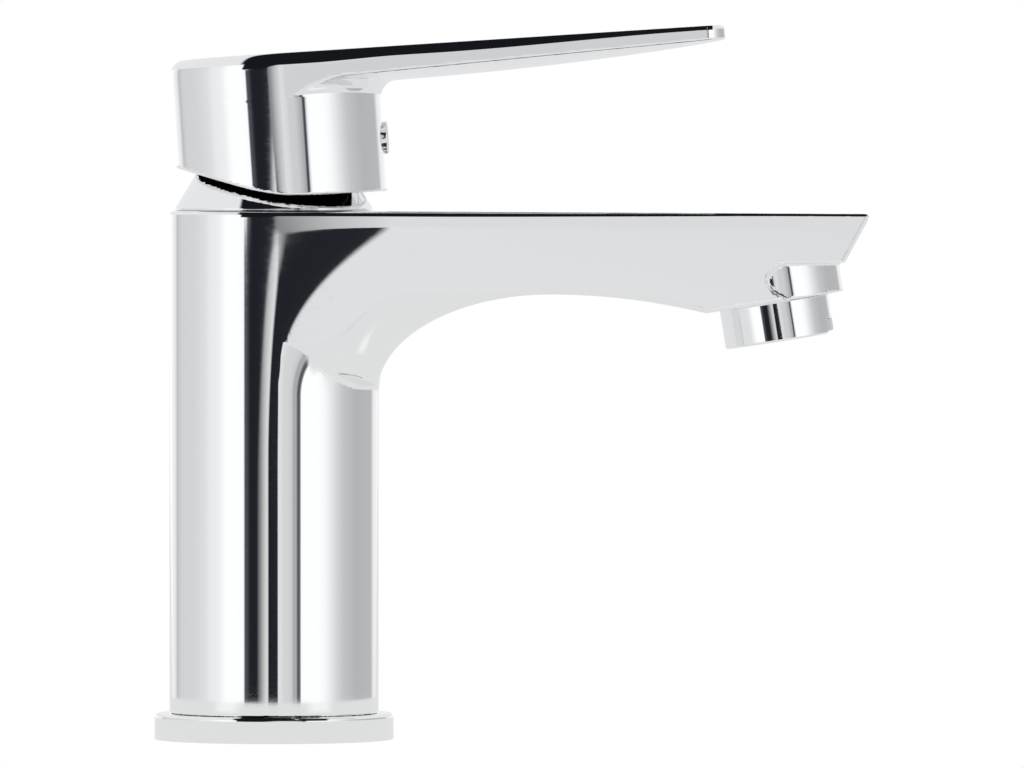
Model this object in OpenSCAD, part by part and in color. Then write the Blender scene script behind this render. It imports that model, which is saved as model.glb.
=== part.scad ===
// Single-lever basin mixer: column and spout cast in one piece, a 35 mm ceramic
// cartridge under a lever handle, and a screwed-in aerator.
// Millimetres, +Z up, spout along +X, origin at the centre of the base on the deck.

/* [Column and base] */
// Diameter of the column and of the handle's cap
body_d = 45.5; // [45:0.1:46.5]
// Height of the column's flat top above the deck
body_h = 115; // [114:0.5:116]
// Diameter of the base flange
base_d = 52; // [51:0.5:56]
// Height of the base flange
base_h = 5.7; // [5.2:0.1:6.5]

/* [Spout] */
// Distance from the column's axis to the spout's tip
tip_x = 129.2; // [128:0.2:132]
// Width of the spout at its tip
tip_w = 31.6; // [31:0.1:33]
// Height of the spout's top edge at its tip
tip_z = 114.3; // [114:0.1:114.8]
// Diameter of the boss that the aerator screws into
boss_d = 30.8; // [29:0.1:31]

/* [Outlet] */
// Distance from the column's axis to the centre of the outlet
outlet_x = 110.2; // [109.5:0.1:111]
// Height of the centre of the outlet above the deck
outlet_z = 86.7; // [86:0.1:87.5]
// Tilt of the outlet's axis, so that the jet leaves forwards
outlet_tilt = 9; // [8:0.5:10]
// Diameter of the aerator's shell
aerator_d = 24; // [23.8:0.1:24.2]

/* [Handle] */
// Length from the cap's back edge to the lever's tip
handle_l = 121; // [115:1:125]
// Width of the lever at its tip
lever_tip_w = 25; // [22:0.5:28]
// Height of the cap at its front
cap_h = 31; // [30.5:0.1:31.2]
// Slope of the handle's top face when the lever is closed
handle_tilt = 3.7; // [3.5:0.1:4]
// Height of the middle of the handle's top face above the deck
cap_top_z = 149; // [148.5:0.1:149.5]

/* [Cartridge] */
// Diameter of the cartridge
cartridge_d = 35; // [34.8:0.1:35]
// Side of the spindle's square end
spindle_sq = 8; // [7.6:0.1:8]

/* [Hidden] */
$fn = 96;
cut = 1; // how far a cutting shape runs past the face it opens

body_r = body_d / 2;
base_r = base_d / 2;
cartridge_r = cartridge_d / 2;
aerator_r = aerator_d / 2;

// base: the casting's spigot stands in the flange
spigot_r = 20.6;
spigot_z = 0.8;
mouth_r = 17.5;     // bore through the spigot for the hoses and the stud
hollow_r = 19;      // hollow column above it
hollow_top = 64;    // underside of the web that the hoses screw into
inlet_pos = [-5, 9];
inlet_r = 4.5;      // M10 x 1 thread, core radius
inlet_depth = 12;
stud_x = 11;
stud_r = 3.4;       // M8 thread, core radius
duct_r = 3.5;

// cartridge stack
floor_z = 88;       // bottom of the cartridge chamber
chamber_r = cartridge_r + 0.1;
plate_z = 93;       // top of the cartridge base, under the ceramic discs
disc_h = 4;
sliding_z = plate_z + disc_h + 0.02;
carrier_z = sliding_z + disc_h;
carrier_top = 105;
flange_z = 105.3;   // underside of the spindle guide's flange
shoulder_z = 107.6; // underside of the housing's top wall
nut_z = 110.6;      // top of the housing, which the nut presses on
neck_top = 120;
neck_r = 10.5;
pivot_z = 114;      // height of the pin that the lever tilts on
pin_r = 1.5;
ball_z = 103.6;     // centre of the spindle's lower ball
ball_r = 2;
disc_rest_x = -1.9; // the discs' offset when the lever is closed
outlet_port_x = 8.5;
outlet_port_r = 4.2;
nut_thread_r = 19;
collar_r = 17;

// handle, in its own frame on the cap's top face
cap_wall = 2.85;
cap_roof = 4.5;
hub_z = 129;
plug_z = -19.6;     // height of the plug's axis below the top face
plug_r = 3.5;
grub_r = 2.5;

// spout: its underside is an ellipse up to the crown and a parabola after it
crown = [60, 96.9];
belly = [37.6, 21.9];
droop = 0.0036;
front_lip = 0.7;
undercut = [123.5, 103.3];
boss_face = 8.6;    // height of the boss's end above the outlet's centre
skin = 4;           // wall between the spout's sides and its waterway

// Straight ring between two heights.
module tube(r_out, r_in, z0, z1) {
    translate([0, 0, z0]) difference() {
        cylinder(r = r_out, h = z1 - z0);
        translate([0, 0, -cut]) cylinder(r = r_in, h = z1 - z0 + 2 * cut);
    }
}

// O-ring lying level at a height.
module o_ring(r_mid, r_cord, z) {
    translate([0, 0, z]) rotate_extrude()
        translate([r_mid, 0]) circle(r = r_cord, $fn = 24);
}

// Straight hole between two heights.
module hole(r, z0, z1, at = [0, 0]) {
    translate([at[0], at[1], z0]) cylinder(r = r, h = z1 - z0);
}

// Side view, in X and Z, made into a slab of a given width.
module slab(points, width) {
    translate([0, width / 2, 0]) rotate([90, 0, 0])
        linear_extrude(height = width) polygon(points);
}

// Part of a ring, in plan, from one angle to another.
module sector(r_out, r_in, a0, a1) {
    steps = 6;
    turn = (a1 - a0) / steps;
    polygon(concat([for (i = [0 : steps]) r_out * [cos(a0 + i * turn), sin(a0 + i * turn)]],
        [for (i = [steps : -1 : 0]) r_in * [cos(a0 + i * turn), sin(a0 + i * turn)]]));
}

// The outlet's own frame: +Z runs back up the jet from the centre of the outlet.
module at_outlet() {
    translate([outlet_x, 0, outlet_z]) rotate([0, -outlet_tilt, 0]) children();
}

// The handle's own frame: origin on the top face, X along the lever.
module at_handle() {
    translate([0, 0, cap_top_z]) rotate([0, -handle_tilt, 0]) children();
}

// Tapered outline with rounded tip corners, from the column to a tip.
module taper_plan(r_root, tip, w_tip, r_corner) {
    corner = [tip - r_corner, w_tip / 2 - r_corner];
    lean = asin((r_root - w_tip / 2) / tip);
    edge = r_corner * [sin(lean), cos(lean)];
    root = r_root * [sin(lean), cos(lean)];
    for (s = [1, -1]) translate([corner[0], s * corner[1]]) circle(r = r_corner);
    polygon([root, corner + edge, [corner[0], corner[1]], [tip, corner[1]],
        [tip, -corner[1]], [corner[0], -corner[1]],
        [corner[0] + edge[0], -corner[1] - edge[1]], [root[0], -root[1]], [0, -r_root],
        [-1, 0], [0, r_root]]);
}

function spout_underside() = concat(
    [for (a = [180 : -7.5 : 90]) crown - [0, belly[1]] + [belly[0] * cos(a), belly[1] * sin(a)]],
    [for (x = [66 : 7 : 94]) [x, crown[1] - droop * pow(x - crown[0], 2)]]);

module spout_solid() {
    side = concat([[0, crown[1] - belly[1]]], spout_underside(),
        [[107, 94.9], [107, 97.5], [108.5, 101], [112, 103.3], undercut,
            [tip_x, tip_z - front_lip], [tip_x, tip_z], [0, body_h]]);
    intersection() {
        slab(side, 2 * body_r);
        translate([0, 0, 70]) linear_extrude(height = 50)
            taper_plan(body_r, tip_x, tip_w, 5);
        // rounded lower corners where the belly grows out of the column
        translate([-5, 0, 0]) rotate([90, 0, 90]) linear_extrude(height = tip_x + 10) {
            for (s = [1, -1]) translate([s * (body_r - 9), crown[1] - belly[1] + 9])
                circle(r = 9);
            translate([-body_r + 9, crown[1] - belly[1] - 1]) square([body_d - 18, 40]);
            translate([-body_r, crown[1] - belly[1] + 9]) square([body_d, 40]);
        }
    }
    at_outlet() hole(boss_d / 2, boss_face, boss_face + 13);
}

// Waterways: the spout's hollow, the duct up to it and the mouth for the aerator.
module waterways() {
    intersection() {
        slab([[29, 96.5], [36, 98.3], [46, 99.4], [60, 100.1], [80, 98.6], [96, 97.5],
            [118, 106.5], [118, 110.5], [29, 110.5]], body_d);
        linear_extrude(height = body_h) polygon([[28, body_r - skin - 1], [119, tip_w / 2 - skin],
            [119, skin - tip_w / 2], [28, skin + 1 - body_r]]);
    }
    translate([outlet_port_x, 0, floor_z - 3]) rotate([0, 57, 0]) cylinder(r = 4, h = 30);
    hole(outlet_port_r, floor_z - 3, floor_z + cut, [outlet_port_x, 0]);
    at_outlet() {
        hole(11, boss_face - cut, 16.2);
        hole(9.5, 16, 21);
    }
}

// Brass casting, machined and chromed.
module body_casting() {
    color([0.83, 0.84, 0.86]) difference() {
        union() {
            hole(body_r, base_h, body_h);
            hole(spigot_r, spigot_z, base_h + cut);
            spout_solid();
        }
        hole(mouth_r, 0, 10);
        hole(hollow_r, 9, hollow_top);
        tube(spigot_r + cut, 19.4, 2.2, 4);
        for (s = [1, -1]) {
            hole(inlet_r, hollow_top - cut, hollow_top + inlet_depth,
                [inlet_pos[0], s * inlet_pos[1]]);
            hole(duct_r, hollow_top + inlet_depth - cut, floor_z + cut,
                [inlet_pos[0], s * inlet_pos[1]]);
        }
        hole(stud_r, hollow_top - cut, hollow_top + inlet_depth, [stud_x, 0]);
        hole(chamber_r, floor_z, body_h + cut);
        hole(nut_thread_r, nut_z - 2, body_h + cut);
        waterways();
    }
}

// Chromed brass ring that the column stands in.
module base_flange() {
    color([0.8, 0.81, 0.83]) difference() {
        union() {
            hole(base_r, 0, base_h - 0.8);
            translate([0, 0, base_h - 0.8]) cylinder(r1 = base_r, r2 = base_r - 0.8, h = 0.8);
        }
        hole(spigot_r + 0.1, -cut, base_h + cut);
        tube(25, 22, -cut, 1.5);
    }
}

module flange_o_ring() {
    color([0.12, 0.12, 0.12]) o_ring(20.04, 0.62, 3.1);
}

// Flat rubber ring that seals the flange to the deck.
module base_gasket() {
    color([0.15, 0.15, 0.15]) tube(24.95, 22.05, 0, 1.45);
}

// Brass nut that clamps the cartridge, with slots for a pin spanner.
module retaining_nut() {
    color([0.78, 0.62, 0.3]) difference() {
        union() {
            hole(nut_thread_r - 0.02, nut_z, body_h - 0.1);
            hole(collar_r, nut_z, 118.3);
        }
        hole(14.2, nut_z - cut, 119);
        for (a = [0 : 90 : 270]) rotate([0, 0, a])
            translate([13, -1.5, 117.2]) cube([6, 3, 3]);
        tube(collar_r + cut, 15.4, 115.4, 117.1);
    }
}

module dome_o_ring() {
    color([0.12, 0.12, 0.12]) o_ring(16.3, 0.84, 116.25);
}

// Chromed cover that pushes down over the nut's collar.
module dome_cover() {
    color([0.82, 0.83, 0.85]) rotate_extrude() polygon([[21.8, body_h], [17.2, 122.6],
        [16.2, 123.7], [14.8, 124.3], [13.3, 124.4], [13.3, 123.2], [14.7, 122.8],
        [16.2, 120.5], [collar_r + 0.2, 118.6], [collar_r + 0.2, body_h]]);
}

// Plastic barrel of the cartridge, with the lug that stops the swivel.
module cartridge_housing() {
    color([0.88, 0.88, 0.85]) {
        difference() {
            hole(cartridge_r, plate_z - 2.4, nut_z);
            hole(16, 90, shoulder_z);
            hole(neck_r + 0.08, 100, nut_z + cut);
            tube(cartridge_r + cut, 15.8 + 0.9, 95, 96.9);
        }
        translate([0, 0, nut_z]) linear_extrude(height = 1.7) sector(13.4, 12, 173, 187);
    }
}

// Plastic base of the cartridge, with its inlets and its outlet.
module cartridge_base() {
    color([0.35, 0.37, 0.4]) difference() {
        union() {
            hole(cartridge_r - 0.1, floor_z, plate_z - 2.5);
            hole(15.9, floor_z, plate_z);
        }
        for (s = [1, -1]) hole(5, floor_z - cut, plate_z + cut, [inlet_pos[0], s * inlet_pos[1]]);
        hole(outlet_port_r, floor_z - cut, plate_z + cut, [outlet_port_x, 0]);
    }
}

// The inlets' rubber seals, one through each hole of the base.
module port_seals() {
    color([0.1, 0.1, 0.1]) for (s = [1, -1])
        translate([inlet_pos[0], s * inlet_pos[1], 0]) tube(4.98, duct_r, floor_z, plate_z);
}

module housing_o_ring() {
    color([0.12, 0.12, 0.12]) o_ring(chamber_r - 0.45, 0.42, 95.95);
}

// Ceramic disc that stays still.
module fixed_disc() {
    color([0.93, 0.92, 0.88]) difference() {
        hole(15.6, plate_z, plate_z + disc_h);
        for (s = [1, -1]) hole(duct_r, 90, 100, [inlet_pos[0], s * inlet_pos[1]]);
        hole(outlet_port_r, 90, 100, [outlet_port_x, 0]);
    }
}

// Ceramic disc that slides, with the mixing pocket in its lower face.
module moving_disc() {
    color([0.95, 0.94, 0.9]) difference() {
        hole(12, sliding_z, carrier_z, [disc_rest_x, 0]);
        hole(6.5, sliding_z - cut, sliding_z + 2.2, [disc_rest_x + 3, 0]);
    }
}

// Plastic carrier that joins the sliding disc to the spindle's ball.
module disc_carrier() {
    color([0.2, 0.35, 0.6]) difference() {
        hole(12.4, carrier_z, carrier_top, [disc_rest_x, 0]);
        for (s = [1, -1]) translate([-20, s * 16.5 - 5, carrier_z - cut]) cube([40, 10, 6]);
        translate([-ball_r - 0.3, -ball_r - 0.3, carrier_z + 0.6])
            cube([2 * ball_r + 0.6, 2 * ball_r + 0.6, 6]);
    }
}

// Plastic turret that turns in the housing and holds the lever's pin.
module spindle_guide() {
    color([0.85, 0.85, 0.8]) difference() {
        union() {
            hole(15, flange_z, shoulder_z - 0.1);
            hole(neck_r, flange_z, neck_top);
            for (s = [1, -1]) translate([-5, s * 12.9 - 1.2, 102]) cube([10, 2.4, 4]);
        }
        translate([-8, -4.3, 100]) cube([15.5, 8.6, 25]);
        translate([0, 0, pivot_z]) rotate([90, 0, 0]) cylinder(r = pin_r, h = 30, center = true);
        tube(neck_r + cut, neck_r - 1.6, 108.1, 109.8);
    }
}

module guide_o_ring() {
    color([0.12, 0.12, 0.12]) o_ring(neck_r - 0.8, 0.8, 108.95);
}

module spindle_pin() {
    color([0.7, 0.7, 0.72]) translate([0, 0, pivot_z]) rotate([90, 0, 0])
        cylinder(r = pin_r, h = 20, center = true);
}

// Ring on the turret whose lugs meet the housing's lug at each end of the swivel.
module hot_limit_ring() {
    color([0.8, 0.15, 0.12]) difference() {
        union() {
            tube(11.7, neck_r, nut_z + 0.3, 112.3);
            for (s = [1, -1]) translate([0, 0, nut_z + 0.3]) linear_extrude(height = 1.4)
                sector(13.3, 11.5, 180 + s * 60 - 6, 180 + s * 60 + 6);
        }
        hole(neck_r, 110, 113);
    }
}

// Metal spindle: ball below the pin, square above it.
module spindle() {
    half = spindle_sq / 2;
    color([0.75, 0.6, 0.32]) difference() {
        union() {
            translate([0, 0, ball_z]) sphere(r = ball_r - 0.05, $fn = 48);
            translate([0, 0, ball_z]) cylinder(r1 = 1.2, r2 = 2.6, h = pivot_z - ball_z);
            translate([0, 0, pivot_z]) rotate([90, 0, 0])
                cylinder(r = 4.5, h = spindle_sq, center = true);
            translate([-half, -half, pivot_z]) cube([spindle_sq, spindle_sq, 29.2]);
        }
        translate([0, 0, pivot_z]) rotate([90, 0, 0])
            cylinder(r = pin_r + 0.03, h = 20, center = true);
    }
}

// Chromed zinc casting: the cap and the lever in one piece.
module handle() {
    lever_x = handle_l - body_r;
    color([0.83, 0.84, 0.86]) difference() {
        union() {
            at_handle() difference() {
                union() {
                    hole(body_r, -cap_h, 0);
                    intersection() {
                        slab([[0, 0], [lever_x, 0], [lever_x, -2.4], [lever_x - 3, -3.1],
                            [60, -4.3], [31, -5.4], [26, -6.6], [23.5, -9], [22, -12],
                            [0, -12]], body_d);
                        translate([0, 0, -20]) linear_extrude(height = 30)
                            taper_plan(body_r, lever_x, lever_tip_w, 4.5);
                    }
                }
                hole(body_r - cap_wall, -cap_h - cut, -cap_roof);
            }
            hole(7.5, hub_z, cap_top_z - 3);
            at_handle() translate([4, 0, plug_z]) rotate([0, 90, 0]) cylinder(r = 4.4, h = 9);
        }
        // the bottom edge rises towards the back, to clear the column when lifted
        at_handle() slab([[5, -31], [0, -30.2], [-6, -28.5], [-24, -22.5], [-24, -33], [5, -33]],
            2 * body_d);
        translate([-spindle_sq / 2 - 0.05, -spindle_sq / 2 - 0.05, hub_z - 6])
            cube([spindle_sq + 0.1, spindle_sq + 0.1, 20.4]);
        at_handle() translate([0, 0, plug_z]) rotate([0, 90, 0]) {
            cylinder(r = grub_r, h = 15);
            translate([0, 0, 15]) cylinder(r = 3.1, h = 9);
            translate([0, 0, body_r - 0.9]) cylinder(r = plug_r + 0.05, h = 3);
        }
    }
}

// Socket-headed set screw that holds the handle on the spindle.
module grub_screw() {
    color([0.5, 0.5, 0.52]) at_handle() translate([0, 0, plug_z]) rotate([0, 90, 0])
        difference() {
            translate([0, 0, 4.8]) cylinder(r = grub_r - 0.02, h = 7.2);
            translate([0, 0, 9.5]) cylinder(r = 1.44, h = 4, $fn = 6);
        }
}

// Plug that hides the set screw and marks hot and cold.
module indicator_plug() {
    color([0.6, 0.6, 0.63]) at_handle() translate([0, 0, plug_z]) rotate([0, 90, 0]) {
        translate([0, 0, 19.2]) cylinder(r = 3.05, h = body_r - 19.2);
        translate([0, 0, body_r - 0.85]) cylinder(r = plug_r, h = 1.45);
        translate([0, 0, body_r + 0.6]) cylinder(r1 = plug_r, r2 = plug_r - 0.5, h = 0.35);
    }
}

// Chromed brass shell of the aerator, with a key notch in the front of its rim.
module aerator_shell() {
    color([0.8, 0.81, 0.83]) at_outlet() difference() {
        union() {
            hole(aerator_r, 0, boss_face - 0.05);
            hole(10.9, 1, 14);
        }
        hole(9.2, -cut, 15);
        hole(9.9, 1.2, 15);
        translate([7.2, -5.6, -cut]) cube([6, 11.2, 3.4 + cut]);
    }
}

module aerator_gasket() {
    color([0.1, 0.1, 0.1]) at_outlet() tube(10.9, 7.5, 14.02, 16);
}

// Plastic cage that mixes air into the jet.
module aerator_insert() {
    color([0.9, 0.92, 0.93]) at_outlet() difference() {
        union() {
            hole(9.85, 3.6, 13.9);
            hole(9.15, 0.4, 4);
            intersection() {
                hole(aerator_r - 0.1, 0.5, 3.3);
                translate([5, -5.4, 0]) cube([8, 10.8, 5]);
            }
        }
        hole(8, -cut, 9);
        hole(6, 12, 15);
        for (ring = [[6, 2.4], [12, 4.8]], i = [1 : ring[0]]) rotate([0, 0, i * 360 / ring[0]])
            hole(0.8, 8, 14, [ring[1], 0]);
    }
}

// Two fine screens that straighten the jet.
module aerator_screens() {
    pitch = 1.7;
    color([0.75, 0.76, 0.78]) at_outlet() for (z = [1.4, 2.6]) difference() {
        hole(7.95, z, z + 0.3);
        for (i = [-4 : 4], j = [-4 : 4]) if (norm([i, j]) < 4.2)
            translate([i * pitch, j * pitch, z + 0.15]) cube([1.2, 1.2, 1], center = true);
    }
}

// Rubber flow regulator in the top of the insert.
module flow_regulator() {
    color([0.2, 0.55, 0.35]) at_outlet() tube(5.9, 2.2, 12.05, 14.5);
}

body_casting();
base_flange();
flange_o_ring();
base_gasket();
retaining_nut();
dome_cover();
dome_o_ring();
cartridge_housing();
cartridge_base();
port_seals();
housing_o_ring();
fixed_disc();
moving_disc();
disc_carrier();
spindle_guide();
guide_o_ring();
spindle_pin();
hot_limit_ring();
spindle();
handle();
grub_screw();
indicator_plug();
aerator_shell();
aerator_gasket();
aerator_insert();
aerator_screens();
flow_regulator();
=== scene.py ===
import math

import bpy
import numpy as np
from mathutils import Matrix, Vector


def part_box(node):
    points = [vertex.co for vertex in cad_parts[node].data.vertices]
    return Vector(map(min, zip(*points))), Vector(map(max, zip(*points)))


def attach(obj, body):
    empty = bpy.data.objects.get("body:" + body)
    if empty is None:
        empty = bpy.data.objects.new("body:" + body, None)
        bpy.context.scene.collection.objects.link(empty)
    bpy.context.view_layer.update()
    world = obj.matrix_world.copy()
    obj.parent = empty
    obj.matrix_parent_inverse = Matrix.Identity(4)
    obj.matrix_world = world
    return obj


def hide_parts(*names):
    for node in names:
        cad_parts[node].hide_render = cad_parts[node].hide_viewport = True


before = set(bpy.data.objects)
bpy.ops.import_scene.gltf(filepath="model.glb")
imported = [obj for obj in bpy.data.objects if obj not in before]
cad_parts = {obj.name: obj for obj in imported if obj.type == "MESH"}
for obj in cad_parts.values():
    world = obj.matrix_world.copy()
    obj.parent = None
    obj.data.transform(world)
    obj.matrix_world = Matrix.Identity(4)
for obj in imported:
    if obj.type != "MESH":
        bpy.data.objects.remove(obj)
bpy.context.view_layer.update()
scene = bpy.context.scene

# ---- Body casting ----
# The column and the spout are one brass casting, linished flat, buffed and
# chrome plated. It is open underneath for the hoses and bored on top for the
# cartridge. Lengths in this file are millimetres until a mesh is made.
MM = 0.001
UP = 2  # index of Z


def corner(node, end, axis):
    """One coordinate of a part's box, in millimetres: end 0 is the low side, 1 the high side."""
    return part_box(node)[end][axis] / MM


def grid_lines(start, *spans):
    """Grid lines from start through spans of (end, spacing)."""
    lines = [start]
    for end, spacing in spans:
        count = max(1, round(abs(end - lines[-1]) / spacing))
        lines += list(np.linspace(lines[-1], end, count + 1)[1:])
    return np.array(lines)


def both_sides(lines):
    """The same grid lines on each side of the middle plane."""
    return np.concatenate([-lines[::-1], lines[1:]])


def round_max(a, b, radius):
    """Where two shapes overlap, with the edge between them rounded."""
    u = np.maximum(a + radius, 0)
    v = np.maximum(b + radius, 0)
    return np.minimum(np.maximum(a, b), -radius) + np.hypot(u, v)


def round_min(a, b, radius):
    """Two shapes joined, with a fillet in the corner between them."""
    return -round_max(-a, -b, radius)


def ramp(value, start, end):
    """0 before start and 1 after end, with a smooth rise between them."""
    t = np.clip((value - start) / (end - start), 0, 1)
    return t * t * (3 - 2 * t)


CORNERS = np.array([[i, j, k] for i in (0, 1) for j in (0, 1) for k in (0, 1)])
EDGES = [(a, b) for a in range(8) for b in range(a + 1, 8)
         if np.abs(CORNERS[a] - CORNERS[b]).sum() == 1]


def slope(field, points, step=0.01):
    """The field's gradient at each point."""
    parts = []
    for axis in range(3):
        shift = np.zeros(3)
        shift[axis] = step
        gain = field(*(points + shift).T) - field(*(points - shift).T)
        parts.append(gain / (2 * step))
    return np.array(parts).T


def cast(name, field, xs, ys, zs, tilt=None):
    """A closed mesh where field is zero, negative inside; tilt places it in the frame."""
    solid = field(*np.meshgrid(xs, ys, zs, indexing="ij", sparse=True))
    inside = solid < 0
    shape = np.array(inside.shape) - 1
    filled = sum(inside[i:i + shape[0], j:j + shape[1], k:k + shape[2]].astype(np.int8)
                 for i, j, k in CORNERS)
    cells = np.argwhere((filled > 0) & (filled < 8))
    number = np.full(shape, -1)
    number[tuple(cells.T)] = np.arange(len(cells))

    at = cells[:, None, :] + CORNERS[None]
    level = solid[at[..., 0], at[..., 1], at[..., 2]]
    place = np.stack([xs[at[..., 0]], ys[at[..., 1]], zs[at[..., 2]]], -1)
    total = np.zeros((len(cells), 3))
    found = np.zeros((len(cells), 1))
    for a, b in EDGES:
        crosses = (level[:, a] < 0) != (level[:, b] < 0)
        share = level[crosses, a] / (level[crosses, a] - level[crosses, b])
        total[crosses] += place[crosses, a] + share[:, None] * (
            place[crosses, b] - place[crosses, a])
        found[crosses] += 1
    points = total / found
    for _ in range(4):
        gradient = slope(field, points)
        steep = np.maximum((gradient ** 2).sum(1), 0.2)
        move = (field(*points.T) / steep)[:, None] * gradient
        points -= np.clip(move, -0.4, 0.4)
    normals = slope(field, points)
    normals /= np.linalg.norm(normals, axis=1)[:, None]

    faces = []
    for axis in range(3):
        after = np.roll([0, 1, 2], -axis)
        first = np.moveaxis(inside, axis, 0)
        change = np.argwhere(first[:-1] != first[1:])
        outward = first[:-1][tuple(change.T)]
        spot = np.zeros_like(change)
        spot[:, axis] = change[:, 0]
        spot[:, [a for a in range(3) if a != axis]] = change[:, 1:]
        ring = []
        for u, v in ((-1, -1), (0, -1), (0, 0), (-1, 0)):
            cell = spot.copy()
            cell[:, after[1]] += u
            cell[:, after[2]] += v
            ring.append(number[tuple(cell.T)])
        quad = np.array(ring).T
        quad[~outward] = quad[~outward][:, ::-1]
        faces.append(quad)
    faces = np.concatenate(faces)

    if tilt is not None:
        points = points @ tilt[0].T + tilt[1]
        normals = normals @ tilt[0].T
    mesh = bpy.data.meshes.new(name)
    mesh.from_pydata(points * MM, [], faces.tolist())
    mesh.polygons.foreach_set("use_smooth", np.ones(len(faces), bool))
    mesh.normals_split_custom_set_from_vertices(normals)
    piece = bpy.data.objects.new(name, mesh)
    scene.collection.objects.link(piece)
    return piece


COLUMN_R = 22.75
COLUMN_TOP = corner("body_casting", 1, UP)
FLANGE_TOP = corner("base_flange", 1, UP)
SPIGOT_R, SPIGOT_Z = 20.6, corner("body_casting", 0, UP)      # it stands in the flange
TIP_X = corner("body_casting", 1, 0)
TIP_HALF = 15.8
TIP_FALL = 0.7          # how much lower the spout's top is at its tip
TIP_CORNER = 0.8
TOP_EDGE = 1.3
SWELL = 0.9             # how far the spout's sides stand out from the tangent to the column
BELLY = (60.0, 75.0)    # centre of the ellipse under the spout
BELLY_HALF = (37.6, 21.9)
HEEL_Z = 77.0           # where the belly ends on the column
HEEL_ROUND = 10.0       # rounding between the sides and the belly at the heel
DROOP = 0.0036          # how fast the belly falls past its crown
NOSE = ((123.5, 103.2), (TIP_X, 113.6))       # the slanted end, from its foot up
POCKET_TOP, POCKET_X = 103.7, 106.3           # the cut in each side round the boss
POCKET_EDGE = ((106.9, 98.3), (111.3, 95.7))
OUTLET = np.array([110.2, 86.7])
OUTLET_TILT = math.radians(9)
BOSS_R, BOSS_FACE, BOSS_TALL = 15.4, 8.6, 13.0
BORE_R, BORE_TOP = 11.0, 16.2
HOLLOW_R, MOUTH_R, HOLLOW_TOP = 19.0, 17.5, 64.0
CHAMBER_R, CHAMBER_FLOOR, NUT_R, NUT_SEAT = 17.6, 88.0, 19.0, 108.6
INLETS = ((-5.0, 9.0, 4.5), (-5.0, -9.0, 4.5), (11.0, 0.0, 3.4))
side_lean = math.asin((COLUMN_R + SWELL - TIP_HALF) / TIP_X)


def outlet_axes(x, z):
    """Position across and up the outlet's tilted axis."""
    dx, dz = x - OUTLET[0], z - OUTLET[1]
    across = dx * math.cos(OUTLET_TILT) + dz * math.sin(OUTLET_TILT)
    return across, dz * math.cos(OUTLET_TILT) - dx * math.sin(OUTLET_TILT)


def half_plane(x, z, start, end):
    """Distance to the right-hand side of the line from start to end."""
    length = math.hypot(end[0] - start[0], end[1] - start[1])
    nx, nz = (end[1] - start[1]) / length, -(end[0] - start[0]) / length
    return (x - start[0]) * nx + (z - start[1]) * nz


def tangent_side(x, y):
    """The column's circle and, from it on, the straight side that it is tangent to."""
    along = x * math.cos(side_lean) - np.abs(y) * math.sin(side_lean)
    straight = np.abs(y) * math.cos(side_lean) + x * math.sin(side_lean) - COLUMN_R
    return np.where(along > 0, straight, np.hypot(x, y) - COLUMN_R)


def root_swell(x, z):
    """How far the side is buffed out where column and spout run together, most near the top."""
    level = z - np.maximum(z - 110, 0) ** 2 / 6
    reach = 0.1 + 25.5 * np.clip((level - 76) / 35, 0, 1) ** 2.3
    steepest = 0.1 * ramp(z, 60, 108) - 0.0004 * np.maximum(z - 110, 0) ** 2
    rising = np.clip((x + 2.9) / 4.3, 0, 1)
    falling = np.clip((x - 1.4) / reach, 0, 1)
    return steepest * (2.15 * rising ** 2 + reach * (falling - falling ** 2 / 2))


def spout(x, y, z):
    root = root_swell(x, z)
    sides = tangent_side(x, y) - root - (SWELL - root) * ramp(x, 25, 120)
    # the ellipse as far as its crown, then a slow droop to the boss's face
    ex, ez = (x - BELLY[0]) / BELLY_HALF[0], (z - BELLY[1]) / BELLY_HALF[1]
    reach = np.sqrt(ex * ex + ez * ez)
    steep = np.sqrt((ex / BELLY_HALF[0]) ** 2 + (ez / BELLY_HALF[1]) ** 2) / np.maximum(reach, 0.05)
    arch = (1 - reach) / np.maximum(steep, 0.02)
    # its foot meets the level heel in a sharp edge, with no crease inside
    low, deep = np.maximum(z - HEEL_Z, 0.01), np.maximum(-arch, 0.01)
    arch = np.where((z > HEEL_Z) & (arch < 0), -(low ** -4 + deep ** -4) ** -0.25,
                    np.maximum(arch, HEEL_Z - z))
    past = np.maximum(x - BELLY[0], 0)
    droop = (BELLY[1] + BELLY_HALF[1] - DROOP * past ** 2 - z) / np.sqrt(
        1 + (2 * DROOP * past) ** 2)
    across, along = outlet_axes(x, z)
    under = np.where(x < BELLY[0], arch, np.maximum(droop, BOSS_FACE - along))
    slab = round_max(sides, under, 1 + (HEEL_ROUND - 1) * ramp(x, 50, 20))
    # the slanted end, with a short upright lip above it
    nose = half_plane(x, z, *NOSE)
    nose = round_max(nose, x - TIP_X, 0.6)
    slab = round_max(slab, nose, TIP_CORNER)
    # the sides are cut away round the boss
    cut = round_max(z - POCKET_TOP, POCKET_X - x, 6)
    cut = round_max(cut, half_plane(x, z, *POCKET_EDGE), 2.5)
    slab = round_max(slab, -cut, 0.4)
    boss = np.hypot(across, y) - BOSS_R
    boss = round_max(boss, BOSS_FACE - along, 0.4)
    boss = np.maximum(boss, along - BOSS_FACE - BOSS_TALL)
    return round_min(slab, boss, 0.5)


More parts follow.
